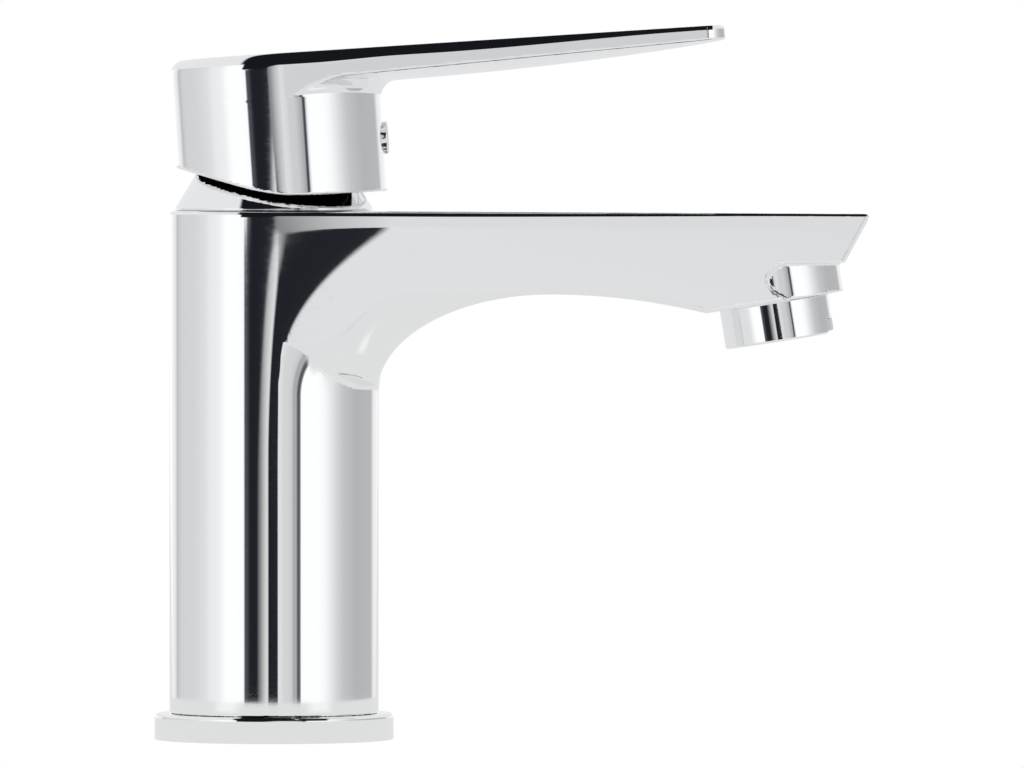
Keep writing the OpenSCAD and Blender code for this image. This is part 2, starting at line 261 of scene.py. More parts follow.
def casting(x, y, z):
    radius = np.hypot(x, y)
    # the column runs up into the spout's side through a long hollow blend
    column = radius - COLUMN_R
    column = column - (column - tangent_side(x, y)) * ramp(x, 13, 8) * ramp(z, 75, 95)
    column = column - root_swell(x, z)
    # only the heel has a fillet: higher up the two surfaces are one
    arm, fillet = spout(x, y, z), 0.8 * ramp(z, 86, 81) * ramp(x, 8, 11)
    body = np.where(fillet > 0, round_min(column, arm, fillet), np.minimum(column, arm))
    top = z - COLUMN_TOP + TIP_FALL * np.maximum(x, 0) / TIP_X
    body = round_max(body, top, TOP_EDGE * (1 - 0.5 * ramp(x, 30, 125)))
    body = round_max(body, FLANGE_TOP - z, 0.3)
    spigot = np.maximum(radius - SPIGOT_R, np.maximum(SPIGOT_Z - z, z - FLANGE_TOP - 2))
    body = np.minimum(body, spigot)
    # hollow underneath, with the threaded holes in its roof
    hollow = np.maximum(radius - HOLLOW_R, np.maximum(9 - z, z - HOLLOW_TOP))
    hollow = np.minimum(hollow, np.maximum(radius - MOUTH_R, z - 12))
    for hx, hy, hr in INLETS:
        hollow = np.minimum(hollow, np.maximum(np.hypot(x - hx, y - hy) - hr,
                                               np.abs(z - HOLLOW_TOP - 5) - 7))
    # cartridge chamber above, and the aerator's bore
    chamber = np.maximum(radius - CHAMBER_R, CHAMBER_FLOOR - z)
    chamber = np.minimum(chamber, np.maximum(radius - NUT_R, NUT_SEAT - z))
    across, along = outlet_axes(x, z)
    bore = np.maximum(np.hypot(across, y) - BORE_R, along - BORE_TOP)
    bore = np.maximum(bore, 92 - x)
    return np.maximum(body, -np.minimum(np.minimum(hollow, chamber), bore))


casting_piece = cast(
    "body_casting_polished", casting,
    grid_lines(-23.6, (4, 0.7), (30, 0.5), (103, 1.2), (TIP_X + 0.8, 0.4)),
    both_sides(grid_lines(0, (11, 1.0), (23.7, 0.5))),
    grid_lines(0.2, (7, 0.4), (62, 2.6), (66, 0.8), (74, 1.5), (88, 0.5), (106, 0.7),
               (112.5, 0.6), (115.8, 0.3)))
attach(casting_piece, "faucet_body")
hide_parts("body_casting")


# The finish: nickel and chromium plate over buffed brass. It has faint dried
# water marks and wipe marks, and the cast inside of the column stays bare.
def add(tree, kind, sockets=None, **settings):
    """A new node with its settings, and its sockets linked or set."""
    node = tree.nodes.new(kind)
    for name, value in settings.items():
        setattr(node, name, value)
    for name, value in (sockets or {}).items():
        if isinstance(value, bpy.types.NodeSocket):
            tree.links.new(value, node.inputs[name])
        else:
            node.inputs[name].default_value = value
    return node


def group(name, inputs, outputs):
    """An empty shader node group with its sockets: inputs as (name, kind, value)."""
    tree = bpy.data.node_groups.new(name, "ShaderNodeTree")
    for label, kind, value in inputs:
        socket = tree.interface.new_socket(label, in_out="INPUT", socket_type="NodeSocket" + kind)
        if value is not None:
            socket.default_value = value
    for label, kind in outputs:
        tree.interface.new_socket(label, in_out="OUTPUT", socket_type="NodeSocket" + kind)
    return tree, tree.nodes.new("NodeGroupInput").outputs, tree.nodes.new("NodeGroupOutput")


def placed(tree, effect, **sockets):
    """A shared group placed in a material, with its own values."""
    return add(tree, "ShaderNodeGroup", {name.replace("_", " "): value
                                         for name, value in sockets.items()},
               node_tree=effect).outputs


def material(name, base, rough, metal=0.0, **surface):
    """A material with a Principled shader; base, rough and the rest are its constants."""
    made = bpy.data.materials.new(name)
    made.use_nodes = True
    shader = made.node_tree.nodes["Principled BSDF"]
    shader.inputs["Base Color"].default_value = (*base, 1)
    shader.inputs["Roughness"].default_value = rough
    shader.inputs["Metallic"].default_value = metal
    for socket, value in surface.items():
        shader.inputs[socket.replace("_", " ")].default_value = value
    coords = add(made.node_tree, "ShaderNodeTexCoord").outputs["Object"]
    return made, made.node_tree, shader, coords


def wear_group():
    """Wipe marks, water marks and a slow unevenness, each a mask from 0 to 1."""
    tree, given, result = group(
        "Wear", [("Position", "Vector", None), ("Mark size", "Float", 0.0004),
                 ("Spot size", "Float", 0.004)],
        [("Wipe marks", "Float"), ("Water marks", "Float"), ("Unevenness", "Float")])
    marks = add(tree, "ShaderNodeVectorMath", {0: given["Position"]}, operation="DIVIDE")
    size = add(tree, "ShaderNodeCombineXYZ", {"X": given["Spot size"], "Y": given["Spot size"],
                                              "Z": given["Mark size"]})
    tree.links.new(size.outputs[0], marks.inputs[1])
    wipes = add(tree, "ShaderNodeTexNoise", {"Vector": marks.outputs[0], "Scale": 1.0,
                                             "Detail": 3.0, "Distortion": 0.8})
    spots = add(tree, "ShaderNodeVectorMath", {0: given["Position"]}, operation="DIVIDE")
    tree.links.new(given["Spot size"], spots.inputs[1])
    cells = add(tree, "ShaderNodeTexVoronoi", {"Vector": spots.outputs[0], "Scale": 0.8,
                                               "Randomness": 1.0}, feature="SMOOTH_F1")
    drops = add(tree, "ShaderNodeMapRange", {"Value": cells.outputs["Distance"], "From Min": 0.24,
                                             "From Max": 0.12, "To Min": 0.0, "To Max": 1.0})
    slow = add(tree, "ShaderNodeTexNoise", {"Vector": spots.outputs[0], "Scale": 0.35,
                                            "Detail": 2.0})
    some = add(tree, "ShaderNodeMapRange", {"Value": slow.outputs["Fac"], "From Min": 0.52,
                                            "From Max": 0.62})
    few = add(tree, "ShaderNodeMath", {0: drops.outputs[0], 1: some.outputs[0]},
              operation="MULTIPLY")
    for label, value in (("Wipe marks", wipes.outputs["Fac"]), ("Water marks", few.outputs[0]),
                         ("Unevenness", slow.outputs["Fac"])):
        tree.links.new(value, result.inputs[label])
    return tree


WEAR = wear_group()
CHROME = (0.905, 0.91, 0.915)
REFLECTS = 0.9          # how much of the room the plate gives back


def plated(name, gloss):
    """Bright chromium plate; gloss is its roughness where it is clean."""
    made, tree, shader, coords = material(name, CHROME, gloss, 1.0)
    wear = placed(tree, WEAR, Position=coords, Mark_size=0.0005, Spot_size=0.003)
    film = add(tree, "ShaderNodeMix", {0: wear["Water marks"], 6: (*CHROME, 1),
                                       7: (0.895, 0.905, 0.915, 1)}, data_type="RGBA")
    tree.links.new(film.outputs[2], shader.inputs["Base Color"])
    dull = add(tree, "ShaderNodeMapRange", {"Value": wear["Wipe marks"], "From Min": 0.45,
                                            "From Max": 0.8, "To Min": gloss,
                                            "To Max": gloss + 0.02})
    more = add(tree, "ShaderNodeMath", {0: wear["Water marks"], 1: 0.012, 2: dull.outputs[0]},
               operation="MULTIPLY_ADD")
    tree.links.new(more.outputs[0], shader.inputs["Roughness"])
    return made


def cast_inside(name, base, grit):
    """Bare cast metal with a sand-cast grain of that size, in metres."""
    made, tree, shader, coords = material(name, base, 0.45, 1.0)
    grain = add(tree, "ShaderNodeTexNoise", {"Vector": coords, "Scale": 1 / grit, "Detail": 5.0})
    tone = add(tree, "ShaderNodeValToRGB", {"Fac": grain.outputs["Fac"]})
    tone.color_ramp.elements[0].position, tone.color_ramp.elements[1].position = 0.3, 0.7
    tone.color_ramp.elements[0].color = (*[0.55 * c for c in base], 1)
    tone.color_ramp.elements[1].color = (*base, 1)
    tree.links.new(tone.outputs[0], shader.inputs["Base Color"])
    rough = add(tree, "ShaderNodeMapRange", {"Value": grain.outputs["Fac"], "To Min": 0.35,
                                             "To Max": 0.6})
    tree.links.new(rough.outputs[0], shader.inputs["Roughness"])
    bump = add(tree, "ShaderNodeBump", {"Height": grain.outputs["Fac"], "Strength": 0.6,
                                        "Distance": 0.0001})
    tree.links.new(bump.outputs[0], shader.inputs["Normal"])
    return made


def finished(piece, outside, inside=None, is_inside=None):
    """Gives a piece its material, and another to the faces whose middle is_inside says."""
    piece.data.materials.append(outside)
    if inside:
        piece.data.materials.append(inside)
        middles = np.zeros(len(piece.data.polygons) * 3)
        piece.data.polygons.foreach_get("center", middles)
        chosen = is_inside(*(middles.reshape(-1, 3).T / MM))
        piece.data.polygons.foreach_set("material_index", chosen.astype(int))


def inside_casting(x, y, z):
    """The hollow, the chamber and the aerator's bore."""
    across, along = outlet_axes(x, z)
    middle = np.hypot(x, y) < HOLLOW_R + 0.05
    bore = (np.hypot(across, y) < BORE_R + 0.05) & (x > 60) & (along < BORE_TOP + 0.1)
    return (middle & (z < COLUMN_TOP - 0.3)) | bore


chrome = plated("chrome", 0.03)
bare_brass = cast_inside("bare_brass", (0.78, 0.57, 0.27), 0.0008)
finished(casting_piece, chrome, bare_brass, inside_casting)


# ---- Handle ----
# One zinc casting, hollow under its cap, with a flat lever whose edges thin
# towards the tip. The set screw and its plug are in the front of the cap.
TOP_Z = 149.0
HANDLE_TILT = math.radians(3.7)
HANDLE_TURN = np.array([[math.cos(HANDLE_TILT), 0, -math.sin(HANDLE_TILT)],
                        [0, 1, 0],
                        [math.sin(HANDLE_TILT), 0, math.cos(HANDLE_TILT)]])
HANDLE_FRAME = (HANDLE_TURN, np.array([0, 0, TOP_Z]))
LEVER_X = 98.2
LEVER_HALF = 12.5
EDGE_ROOT, EDGE_TIP = 6.6, 3.0          # the lever's thickness along its edges
CROWN = 2.1                             # and how much thicker it is down its middle
CAP_R, CAP_BORE, CAP_ROOF = 22.75, 19.9, 4.5
CAP_FRONT = 31.3
BACK_RISE = 0.372       # slope of the cap's bottom edge behind the middle
LIP = 3.4               # height of the flare inside the cap's bottom edge
PLUG_Z = -19.6
PLUG_R = 3.5
HUB_R, HUB_Z = 7.5, 129.0
SOCKET_HALF, SOCKET_DEEP = 4.05, 14.4
lever_lean = math.asin((CAP_R - LEVER_HALF) / LEVER_X)


def handle_outline(x, y):
    """The handle seen from above: the cap's circle and the tapering lever, tangent to it."""
    along = x * math.cos(lever_lean) - np.abs(y) * math.sin(lever_lean)
    side = np.abs(y) * math.cos(lever_lean) + x * math.sin(lever_lean) - CAP_R
    return round_max(np.where(along > 0, side, np.hypot(x, y) - CAP_R), x - LEVER_X, 4.5)


def handle(x, y, z):
    outline = handle_outline(x, y)
    out = np.clip(x / LEVER_X, 0, 1)
    edge_depth = EDGE_ROOT - (EDGE_ROOT - EDGE_TIP) * out ** 0.85
    crown = CROWN * np.sin(math.pi * np.clip(out * 0.95 + 0.05, 0, 1)) ** 0.7
    width = CAP_R + (LEVER_HALF - CAP_R) * out
    under = -z - edge_depth - crown * np.clip(1 - (y / width) ** 2, 0, 1)
    wall = np.hypot(x, y) - CAP_R
    body = round_min(under, wall, 3.5)
    body = round_max(outline, body, 0.4 * ramp(x, 3, 9))
    body = round_max(body, z, 3.2 - 0.6 * ramp(x, 8, 28) - 1.5 * ramp(x, 35, 95))
    back = -x - 1.5
    bottom = CAP_FRONT - BACK_RISE * (back + np.sqrt(back * back + 25)) / 2
    rim = (-z - bottom) / math.hypot(1, BACK_RISE)
    body = round_max(body, rim, 0.4)
    hollow = np.hypot(x, y) - CAP_BORE - 0.55 * np.maximum(rim + LIP, 0)
    hollow = round_max(hollow, z + CAP_ROOF, 1.5)
    # the hub stands upright in the frame, so it leans in the handle
    hx = x * math.cos(HANDLE_TILT) - z * math.sin(HANDLE_TILT)
    hz = x * math.sin(HANDLE_TILT) + z * math.cos(HANDLE_TILT) + TOP_Z
    hub = np.maximum(np.hypot(hx, y) - HUB_R, HUB_Z - hz)
    screw_boss = np.maximum(np.hypot(y, z - PLUG_Z) - 4.4, np.abs(x - 8.5) - 4.5)
    hub = round_min(hub, screw_boss, 0.8)
    body = np.maximum(body, -np.maximum(hollow, -hub))
    socket = np.maximum(np.abs(hx), np.abs(y)) - SOCKET_HALF
    socket = np.maximum(socket, hz - HUB_Z - SOCKET_DEEP)
    screw_hole = np.maximum(np.hypot(y, z - PLUG_Z) - 2.5, -x)
    plug_hole = np.hypot(y, z - PLUG_Z) - 3.1
    plug_seat = np.maximum(np.hypot(y, z - PLUG_Z) - PLUG_R - 0.05, CAP_R - 0.9 - x)
    holes = np.minimum(np.minimum(socket, screw_hole),
                       np.maximum(np.minimum(plug_hole, plug_seat), 15 - x))
    return np.maximum(body, -holes)


handle_piece = cast(
    "handle_polished", handle,
    grid_lines(-23.6, (26, 0.55), (92, 1.1), (LEVER_X + 0.7, 0.35)),
    both_sides(grid_lines(0, (4.2, 0.5), (10, 0.9), (23.6, 0.45))),
    grid_lines(-32.2, (-22, 0.5), (-18, 0.8), (-3.5, 0.45), (0.7, 0.35)),
    HANDLE_FRAME)
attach(handle_piece, "lever")
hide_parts("handle")


def inside_cap(x, y, z):
    """The hollow of the cap above its plated lip. Its bare zinc is grey, but here its colour is
    painted near black as painted shade inside the cap.
    """
    out = x * math.cos(HANDLE_TILT) + (z - TOP_Z) * math.sin(HANDLE_TILT)
    down = (z - TOP_Z) * math.cos(HANDLE_TILT) - x * math.sin(HANDLE_TILT)
    return (np.hypot(out, y) < CAP_BORE + 0.3) & (down < 0.4 - CAP_ROOF)


# painted shade: the zinc inside the cap gets a near black colour for the shade in there
zinc_painted_dark = cast_inside("zinc_painted_dark", (0.07, 0.07, 0.075), 0.0006)
finished(handle_piece, chrome, zinc_painted_dark, inside_cap)


# ---- Dome and base flange ----
# Both are turned from brass bar and chromed like the casting. The dome pushes
# over the retaining nut's collar, and the flange drops onto the deck first.
TURNS = 192


def turned(name, outline, turns=TURNS):
    """A ring or disc from its half outline, as (radius, height, corner radius), anticlockwise."""
    rows = []
    for i, (r, z, rounding) in enumerate(outline):
        here = np.array([r, z])
        before = here - np.array(outline[i - 1][:2])
        after = np.array(outline[(i + 1) % len(outline)][:2]) - here
        before /= np.linalg.norm(before)
        after /= np.linalg.norm(after)
        bend = math.atan2(before[0] * after[1] - before[1] * after[0], before @ after)
        start = here - before * rounding * math.tan(abs(bend) / 2)
        out = np.array([before[1], -before[0]])
        side = 1 if bend > 0 else -1
        centre = start - side * rounding * out
        for step in np.linspace(0, bend, 7):
            normal = np.array([out[0] * math.cos(step) - out[1] * math.sin(step),
                               out[0] * math.sin(step) + out[1] * math.cos(step)])
            rows.append((centre + side * rounding * normal, normal))
    points, normals, rings = [], [], []
    for place, normal in rows:
        if place[0] < 1e-6:
            rings.append([len(points)] * turns)
            points.append((0, 0, place[1]))
            normals.append((0, 0, math.copysign(1, normal[1])))
            continue
        rings.append(list(range(len(points), len(points) + turns)))
        for k in range(turns):
            c, s = math.cos(2 * math.pi * k / turns), math.sin(2 * math.pi * k / turns)
            points.append((place[0] * c, place[0] * s, place[1]))
            normals.append((normal[0] * c, normal[0] * s, normal[1]))
    faces = []
    for low, high in zip(rings, rings[1:] + rings[:1]):
        for k in range(turns):
            face = [low[k], low[(k + 1) % turns], high[(k + 1) % turns], high[k]]
            face = list(dict.fromkeys(face))
            if len(face) > 2:
                faces.append(face)
    mesh = bpy.data.meshes.new(name)
    mesh.from_pydata((np.array(points) * MM).tolist(), [], faces)
    mesh.polygons.foreach_set("use_smooth", np.ones(len(faces), bool))
    mesh.normals_split_custom_set_from_vertices(normals)
    piece = bpy.data.objects.new(name, mesh)
    scene.collection.objects.link(piece)
    return piece


DOME_R = corner("dome_cover", 1, 0)
DOME_TOP = corner("dome_cover", 1, UP)
COLLAR_R = 17.2
dome_piece = turned("dome_cover_polished", [
    (COLLAR_R, COLUMN_TOP, 0.2), (DOME_R, COLUMN_TOP, 0.35), (17.0, DOME_TOP - 1.45, 2.0),
    (14.9, DOME_TOP - 0.12, 1.2), (13.3, DOME_TOP, 0.3), (13.3, DOME_TOP - 1.2, 0.3),
    (14.7, DOME_TOP - 1.6, 0.5), (16.2, DOME_TOP - 3.9, 0.5), (COLLAR_R, DOME_TOP - 5.8, 0.3)])

FLANGE_R = corner("base_flange", 1, 0)
FLANGE_BORE = 20.7
GASKET_IN, GASKET_OUT, GASKET_DEEP = 22.0, 25.0, 1.5
flange_piece = turned("base_flange_polished", [
    (FLANGE_BORE, 0, 0.2), (GASKET_IN, 0, 0.15), (GASKET_IN, GASKET_DEEP, 0.15),
    (GASKET_OUT, GASKET_DEEP, 0.15), (GASKET_OUT, 0, 0.15), (FLANGE_R, 0, 0.25),
    (FLANGE_R, FLANGE_TOP, 0.9), (FLANGE_BORE, FLANGE_TOP, 0.2)])

for piece, node in ((dome_piece, "dome_cover"), (flange_piece, "base_flange")):
    finished(piece, chrome)
    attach(piece, "faucet_body")
    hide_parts(node)


# ---- Indicator plug ----
# A moulded, chromed plug pressed into the cap over the set screw. Its face is
# sunk inside a bead, with a raised bar between the hot and the cold side.
def plug(x, y, z):
    """The plug along its own X axis, with its head outside the cap."""
    radius = np.hypot(y, z)
    head = np.maximum(radius - PLUG_R, np.maximum(CAP_R - 0.85 - x, x - CAP_R - 0.5))
    bead = np.hypot(radius - PLUG_R + 0.5, x - CAP_R - 0.45) - 0.5
    body = round_min(head, bead, 0.15)
    dish = np.hypot(radius, x - CAP_R - 3.1) - 2.85
    body = round_max(body, -dish, 0.12)
    bar = np.maximum(np.abs(y) - 0.42, np.abs(z) - 2.1)
    bar = np.maximum(bar, np.abs(x - CAP_R - 0.35) - 0.3)
    body = round_min(body, bar - 0.08, 0.2)
    stem = np.maximum(radius - 3.05, np.abs(x - CAP_R + 1.9) - 1.7)
    return np.minimum(body, stem)


plug_lines = both_sides(grid_lines(0, (3.8, 0.12)))
PLUG_FRAME = (HANDLE_TURN, HANDLE_FRAME[1] + HANDLE_TURN @ np.array([0, 0, PLUG_Z]))
plug_piece = cast("indicator_plug_polished", plug,
                  grid_lines(CAP_R - 3.9, (CAP_R - 0.9, 0.4), (CAP_R + 1.2, 0.1)),
                  plug_lines, plug_lines, PLUG_FRAME)
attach(plug_piece, "lever")
finished(plug_piece, plated("plug_chrome", 0.12))
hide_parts("indicator_plug")


# ---- Aerator ----
# The shell is turned brass, chromed, screwed up into the boss with a key in
# the notch of its rim. A plastic cage inside it holds two woven wire screens.
OUTLET_TURN = np.array([[math.cos(OUTLET_TILT), 0, -math.sin(OUTLET_TILT)],
                        [0, 1, 0],
                        [math.sin(OUTLET_TILT), 0, math.cos(OUTLET_TILT)]])
OUTLET_FRAME = (OUTLET_TURN, np.array([OUTLET[0], 0, OUTLET[1]]))
SHELL_R, SHELL_H, SHELL_LIP = 12.0, 8.55, 9.2
THREAD_R, THREAD_TOP, THREAD_PITCH = 10.9, 14.0, 1.0
NOTCH_HALF, NOTCH_H, NOTCH_X = 5.6, 3.4, 7.2


def shell(x, y, z):
    radius = np.hypot(x, y)
    skirt = round_max(radius - SHELL_R, z - SHELL_H, 0.25)
    skirt = round_max(skirt, -z, 0.5)
    ridge = 0.22 * np.abs(((z / THREAD_PITCH - np.arctan2(y, x) / (2 * math.pi)) % 1) - 0.5) * 2
    neck = np.maximum(radius - THREAD_R + ridge, np.maximum(z - THREAD_TOP, 1 - z))
    bore = np.maximum(radius - 9.9, 1.2 - z)
    bore = round_min(bore, radius - SHELL_LIP, 0.1)
    body = np.maximum(np.minimum(skirt, neck), -bore)
    notch = round_max(np.abs(y) - NOTCH_HALF, z - NOTCH_H, 0.6)
    notch = np.maximum(notch, NOTCH_X - x)
    return round_max(body, -notch, 0.2)


shell_lines = both_sides(grid_lines(0, (12.5, 0.34)))
shell_piece = cast("aerator_shell_polished", shell, shell_lines, shell_lines,
                   grid_lines(-0.4, (1.6, 0.2), (3, 0.35), (4, 0.2), (8.2, 0.6), (8.8, 0.12),
                              (14.4, 0.2)), OUTLET_FRAME)
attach(shell_piece, "faucet_body")
finished(shell_piece, chrome)
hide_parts("aerator_shell")


def moulded(name, base, rough, **surface):
    """Moulded plastic or rubber: a fine sparked grain and slow changes of tone."""
    made, tree, shader, coords = material(name, base, rough, **surface)
    wear = placed(tree, WEAR, Position=coords, Mark_size=0.0015, Spot_size=0.003)
    tone = add(tree, "ShaderNodeMix", {0: wear["Unevenness"], 6: (*[0.86 * c for c in base], 1),
                                       7: (*[min(1.06 * c, 1) for c in base], 1)},
               data_type="RGBA")
    tree.links.new(tone.outputs[2], shader.inputs["Base Color"])
    matt = add(tree, "ShaderNodeMapRange", {"Value": wear["Wipe marks"], "To Min": rough - 0.06,
                                            "To Max": rough + 0.1})
    tree.links.new(matt.outputs[0], shader.inputs["Roughness"])
    sparks = add(tree, "ShaderNodeTexNoise", {"Vector": coords, "Scale": 6000.0, "Detail": 2.0})
    bump = add(tree, "ShaderNodeBump", {"Height": sparks.outputs["Fac"], "Strength": 0.12,
                                        "Distance": 0.00003})
    tree.links.new(bump.outputs[0], shader.inputs["Normal"])
    return made


def insert(x, y, z):
    """The cage: a cup that holds the screens, with air slots round it and a lug in the notch."""
    radius = np.hypot(x, y)
    cage = round_max(radius - 9.85, np.maximum(3.6 - z, z - 13.9), 0.2)
    cage = np.minimum(cage, round_max(radius - 9.1, np.maximum(0.4 - z, z - 5), 0.2))
    lug = np.maximum(np.abs(y) - NOTCH_HALF + 0.2, np.maximum(np.abs(z - 1.9) - 1.4, 8 - x))
    lug = round_max(lug, radius - SHELL_R + 0.1, 0.3)
    cage = round_min(cage, lug + 0.05, 0.1)
    cup = np.maximum(radius - 8, z - 9)
    seat = np.maximum(radius - 6, 12 - z)
    sector = (np.arctan2(y, x) * 12 / (2 * math.pi)) % 1 - 0.5
    slot = np.maximum(np.abs(sector) * radius * 2 * math.pi / 12 - 1.1, np.abs(z - 9.2) - 2.2)
    slot = np.maximum(slot, 8.4 - radius)
    jets = np.hypot(np.abs(sector) * radius * 2 * math.pi / 12, radius - 4.8) - 0.8
    return np.maximum(cage, -np.minimum(np.minimum(cup, seat), np.minimum(slot, jets)))


insert_lines = both_sides(grid_lines(0, (12.4, 0.36)))
insert_piece = cast("aerator_cage", insert, insert_lines, insert_lines,
                    grid_lines(-0.1, (5, 0.3), (14.4, 0.45)), OUTLET_FRAME)
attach(insert_piece, "faucet_body")
finished(insert_piece, moulded("insert_plastic", (0.8, 0.83, 0.86), 0.35))
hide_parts("aerator_insert")


# ---- Inside parts ----
# The cartridge, seals, pin and screws keep the frame's own solids, and take
# finishes here: moulded plastics, rubbers, fired ceramic, turned brass, steel.
def turned_metal(name, base, rough, groove):
    """Turned bar with its tool marks, groove metres apart, round the Z axis."""
    made, tree, shader, coords = material(name, base, rough, 1.0)
    rings = add(tree, "ShaderNodeTexWave", {"Vector": coords, "Scale": 1 / groove / 20,
                                            "Distortion": 0.6, "Detail": 2.0},
                wave_type="BANDS", bands_direction="Z")
    wear = placed(tree, WEAR, Position=coords, Mark_size=0.0006, Spot_size=0.002)
    tone = add(tree, "ShaderNodeMix", {0: wear["Unevenness"], 6: (*[0.78 * c for c in base], 1),
                                       7: (*base, 1)}, data_type="RGBA")
    tree.links.new(tone.outputs[2], shader.inputs["Base Color"])
    dull = add(tree, "ShaderNodeMapRange", {"Value": wear["Wipe marks"], "To Min": rough - 0.05,
                                            "To Max": rough + 0.1})
    tree.links.new(dull.outputs[0], shader.inputs["Roughness"])
    bump = add(tree, "ShaderNodeBump", {"Height": rings.outputs["Fac"], "Strength": 0.3,
                                        "Distance": 0.00002})
    tree.links.new(bump.outputs[0], shader.inputs["Normal"])
    return made


rubber = moulded("rubber", (0.025, 0.025, 0.027), 0.6)
body_plastic = moulded("cartridge_plastic", (0.72, 0.71, 0.66), 0.4)
brass = turned_metal("brass", (0.8, 0.58, 0.27), 0.25, 0.0004)
steel = turned_metal("steel", (0.6, 0.61, 0.63), 0.22, 0.0003)
ceramic = moulded("ceramic", (0.86, 0.85, 0.8), 0.2)
FINISHES = {
    "flange_o_ring": rubber, "base_gasket": rubber, "dome_o_ring": rubber,
    "housing_o_ring": rubber, "guide_o_ring": rubber, "port_seals": rubber,
    "aerator_gasket": rubber, "retaining_nut": brass, "spindle": brass,
    "cartridge_housing": body_plastic, "spindle_guide": body_plastic,
    "cartridge_base": moulded("base_plastic", (0.035, 0.035, 0.04), 0.4),
    "disc_carrier": moulded("carrier_plastic", (0.04, 0.1, 0.33), 0.4),
    "hot_limit_ring": moulded("limit_plastic", (0.6, 0.03, 0.02), 0.38),
    "flow_regulator": moulded("regulator_rubber", (0.05, 0.26, 0.11), 0.55),
    "fixed_disc": ceramic, "moving_disc": ceramic,
    "spindle_pin": steel, "grub_screw": steel,
}
for node, look in FINISHES.items():
    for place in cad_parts[node].material_slots:
        place.material = look


# ---- Aerator screens ----
# Two discs of plain woven stainless wire, each held in a thin rolled rim, lie
# in the cage one above the other. Every wire runs over one and under the next.
def woven_screens():
    """The tree that weaves the screens; its sizes are in metres."""
    tree = bpy.data.node_groups.new("Woven screens", "GeometryNodeTree")
    for label in ("Radius", "Pitch", "Wire", "Rim", "First", "Apart"):
        tree.interface.new_socket(label, in_out="INPUT", socket_type="NodeSocketFloat")
    tree.interface.new_socket("Finish", in_out="INPUT", socket_type="NodeSocketMaterial")
    tree.interface.new_socket("Geometry", in_out="OUTPUT", socket_type="NodeSocketGeometry")
    given = tree.nodes.new("NodeGroupInput").outputs

    def sum_of(operation, *values):
        return add(tree, "ShaderNodeMath", dict(enumerate(values)), operation=operation).outputs[0]

    # level rows of straight wire, each as long as the disc is wide there
    half = sum_of("FLOOR", sum_of("DIVIDE", given["Radius"], given["Pitch"]))
    first = add(tree, "ShaderNodeCombineXYZ", {"Y": sum_of(
        "MULTIPLY", sum_of("MULTIPLY", half, -1.0), given["Pitch"])}).outputs[0]
    apart = add(tree, "ShaderNodeCombineXYZ", {"Y": given["Pitch"]}).outputs[0]
    rows = add(tree, "GeometryNodeMeshLine", {
        "Count": sum_of("MULTIPLY_ADD", half, 2.0, 1.0), "Start Location": first,
        "Offset": apart}, mode="OFFSET").outputs[0]
    at = add(tree, "ShaderNodeSeparateXYZ", {0: add(
        tree, "GeometryNodeInputPosition").outputs[0]}).outputs
    reach = sum_of("SQRT", sum_of("SUBTRACT", sum_of("MULTIPLY", given["Radius"], given["Radius"]),
                                  sum_of("MULTIPLY", at["Y"], at["Y"])))
    straight = add(tree, "GeometryNodeCurvePrimitiveLine", {
        "Start": (-1, 0, 0), "End": (1, 0, 0)}).outputs[0]
    wires = add(tree, "GeometryNodeInstanceOnPoints", {
        "Points": rows, "Instance": straight, "Scale": add(
            tree, "ShaderNodeCombineXYZ", {"X": reach, "Y": 1.0, "Z": 1.0}).outputs[0]}).outputs[0]
    wires = add(tree, "GeometryNodeRealizeInstances", {"Geometry": wires}).outputs[0]
    wires = add(tree, "GeometryNodeResampleCurve", {
        "Curve": wires, "Length": sum_of("MULTIPLY", given["Pitch"], 0.25)},
        mode="LENGTH").outputs[0]
    crossing = add(tree, "GeometryNodeTransform", {
        "Geometry": wires, "Rotation": (0, 0, math.pi / 2)}).outputs[0]

    # a wave along each wire that is opposite in its neighbours and in the crossing wires
    waves = [sum_of("COSINE", sum_of("DIVIDE", sum_of("MULTIPLY", at[axis], math.pi),
                                     given["Pitch"])) for axis in "XY"]
    wave = sum_of("MULTIPLY", sum_of("MULTIPLY", *waves), given["Wire"])
    woven = []
    for rows_one_way, side in ((wires, 1.0), (crossing, -1.0)):
        lift = add(tree, "ShaderNodeCombineXYZ", {"Z": sum_of("MULTIPLY", wave, side)}).outputs[0]
        woven.append(add(tree, "GeometryNodeSetPosition", {
            "Geometry": rows_one_way, "Offset": lift}).outputs[0])
    rim = add(tree, "GeometryNodeCurvePrimitiveCircle", {
        "Resolution": 96, "Radius": given["Radius"]}).outputs[0]
    solid = []
    for curves, thick, sides in ((woven[0], "Wire", 6), (woven[1], "Wire", 6), (rim, "Rim", 10)):
        section = add(tree, "GeometryNodeCurvePrimitiveCircle", {
            "Resolution": sides, "Radius": given[thick]}).outputs[0]
        solid.append(add(tree, "GeometryNodeCurveToMesh", {
            "Curve": curves, "Profile Curve": section, "Fill Caps": True}).outputs[0])
    screen = tree.nodes.new("GeometryNodeJoinGeometry")
    for part in solid:
        tree.links.new(part, screen.inputs[0])

    # the same screen at both heights
    low = add(tree, "ShaderNodeCombineXYZ", {"Z": given["First"]}).outputs[0]
    step = add(tree, "ShaderNodeCombineXYZ", {"Z": given["Apart"]}).outputs[0]
    places = add(tree, "GeometryNodeMeshLine", {
        "Count": 2, "Start Location": low, "Offset": step}, mode="OFFSET").outputs[0]
    both = add(tree, "GeometryNodeInstanceOnPoints", {
        "Points": places, "Instance": screen.outputs[0]}).outputs[0]
    both = add(tree, "GeometryNodeRealizeInstances", {"Geometry": both}).outputs[0]
    both = add(tree, "GeometryNodeSetShadeSmooth", {"Geometry": both}).outputs[0]
    both = add(tree, "GeometryNodeSetMaterial", {
        "Geometry": both, "Material": given["Finish"]}).outputs[0]
    add(tree, "NodeGroupOutput", {"Geometry": both})
    return tree


